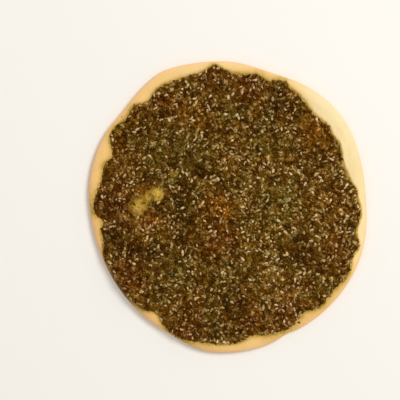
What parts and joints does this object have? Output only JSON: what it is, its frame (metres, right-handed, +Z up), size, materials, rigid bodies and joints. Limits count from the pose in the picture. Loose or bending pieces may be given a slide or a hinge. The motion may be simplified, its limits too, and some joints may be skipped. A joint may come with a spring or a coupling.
{
  "type": "manakish flatbread",
  "caption": "Round hand-stretched flatbread with a bare pale rim, covered by a thin dark spread of thyme, sumac and sesame.",
  "frame": {"origin": "under the middle of the bread's box, on the surface that it lies on", "axes": "+Z up, +Y along the bread's longer way, away from someone who looks at it in the picture; +X to their right"},
  "size_m": [0.2556, 0.268, 0.0121],
  "materials": {
    "dough": "baked pale dough, matte, lightly floured, toasted spots beneath",
    "zaatar": "oily dark olive-brown herb paste with pale sesame seeds"
  },
  "bodies": {
    "root": {"bread": "dough", "zaatar_spread": "zaatar"}
  },
  "joints": []
}
